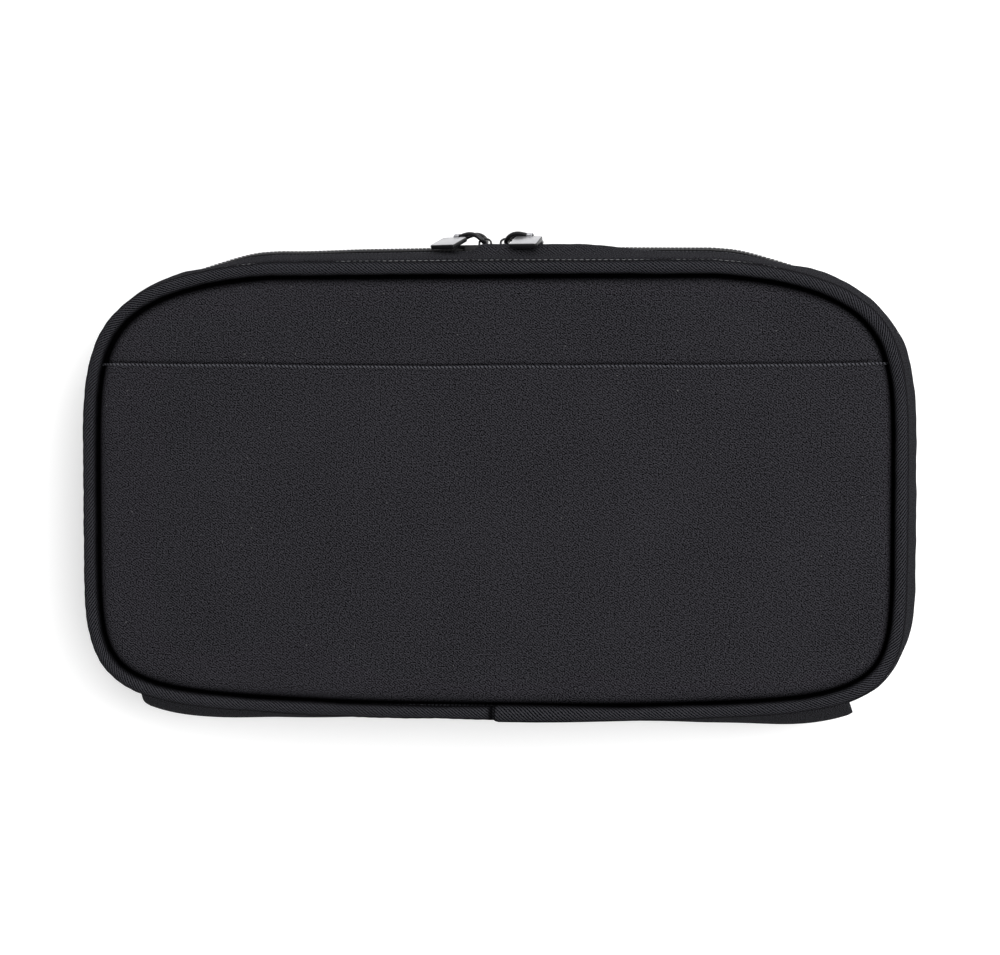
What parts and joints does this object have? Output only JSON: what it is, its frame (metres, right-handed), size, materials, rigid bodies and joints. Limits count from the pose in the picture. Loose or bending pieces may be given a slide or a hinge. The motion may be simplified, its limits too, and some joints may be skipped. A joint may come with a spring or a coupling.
{
  "type": "cable organizer pouch",
  "caption": "Soft clamshell zip pouch with piped edges, an outside slip pocket, a fabric spine, sliders with pull tags, elastic cable loops and an inner net pocket.",
  "frame": {"origin": "middle of the back panel's outer face, on which the pouch lies", "axes": "+X along the width, +Y towards the middle of the zipper, +Z out of the front face"},
  "size_m": [0.2554, 0.1513, 0.05],
  "materials": {
    "twill": "matte woven twill",
    "piping": "bias-cut twill over a cord",
    "stiffener": "foam board",
    "lining": "smooth plain weave",
    "zipper_tape": "knitted tape",
    "zipper_coil": "moulded nylon",
    "elastic": "ribbed elastic webbing",
    "net": "open net",
    "black_metal": "gunmetal plating",
    "silver_metal": "polished"
  },
  "bodies": {
    "back_tray": {"back_panel": "twill", "back_gusset": "twill", "back_spine": "twill", "back_piping": "piping", "back_stiffener": "stiffener", "back_lining": "lining", "back_gusset_lining": "lining", "back_spine_lining": "lining", "back_zipper_tape": "zipper_tape", "back_seam_binding": "zipper_tape", "back_zipper_coil": "zipper_coil", "elastic_loops_upper": "elastic", "elastic_loops_lower": "elastic"},
    "lid": {"front_panel": "twill", "front_pocket_panel": "twill", "front_gusset": "twill", "front_spine": "twill", "front_piping": "piping", "front_stiffener": "stiffener", "front_lining": "lining", "front_gusset_lining": "lining", "front_spine_lining": "lining", "front_zipper_tape": "zipper_tape", "front_seam_binding": "zipper_tape", "front_zipper_coil": "zipper_coil", "net_pocket_elastic": "elastic", "net_pocket": "net"},
    "slider_left": {"slider_left": "black_metal"},
    "loop_left": {"pull_loop_left": "black_metal"},
    "tag_left": {"pull_tag_left": "silver_metal"},
    "slider_right": {"slider_right": "black_metal"},
    "loop_right": {"pull_loop_right": "black_metal"},
    "tag_right": {"pull_tag_right": "silver_metal"}
  },
  "joints": [
    {"name": "lid_hinge", "type": "hinge", "parent": "back_tray", "child": "lid", "pos_m": [0, -0.0729, 0.025], "axis": [1, 0, 0], "range_deg": [0, 180]},
    {"name": "slider_left_slide", "type": "slide", "parent": "lid", "child": "slider_left", "axis": [-1, 0, 0], "range_m": [0, 0.055]},
    {"name": "loop_left_hinge", "type": "hinge", "parent": "slider_left", "child": "loop_left", "pos_m": [-0.0033, 0.07495, 0.025], "axis": [0.2418, 0.0349, -0.9697], "range_deg": [0, 85]},
    {"name": "tag_left_hinge", "type": "hinge", "parent": "loop_left", "child": "tag_left", "pos_m": [-0.0117, 0.07641, 0.02605], "axis": [-0.8988, 0.0073, -0.4382], "range_deg": [0, 50]},
    {"name": "slider_right_slide", "type": "slide", "parent": "lid", "child": "slider_right", "axis": [1, 0, 0], "range_m": [0, 0.055]},
    {"name": "loop_right_hinge", "type": "hinge", "parent": "slider_right", "child": "loop_right", "pos_m": [0.0033, 0.07495, 0.025], "axis": [-0.1045, -0.0349, 0.9939], "range_deg": [0, 85]},
    {"name": "tag_right_hinge", "type": "hinge", "parent": "loop_right", "child": "tag_right", "pos_m": [0.01084, 0.07641, 0.02886], "axis": [-0.9848, 0.0024, -0.1736], "range_deg": [0, 50]}
  ]
}
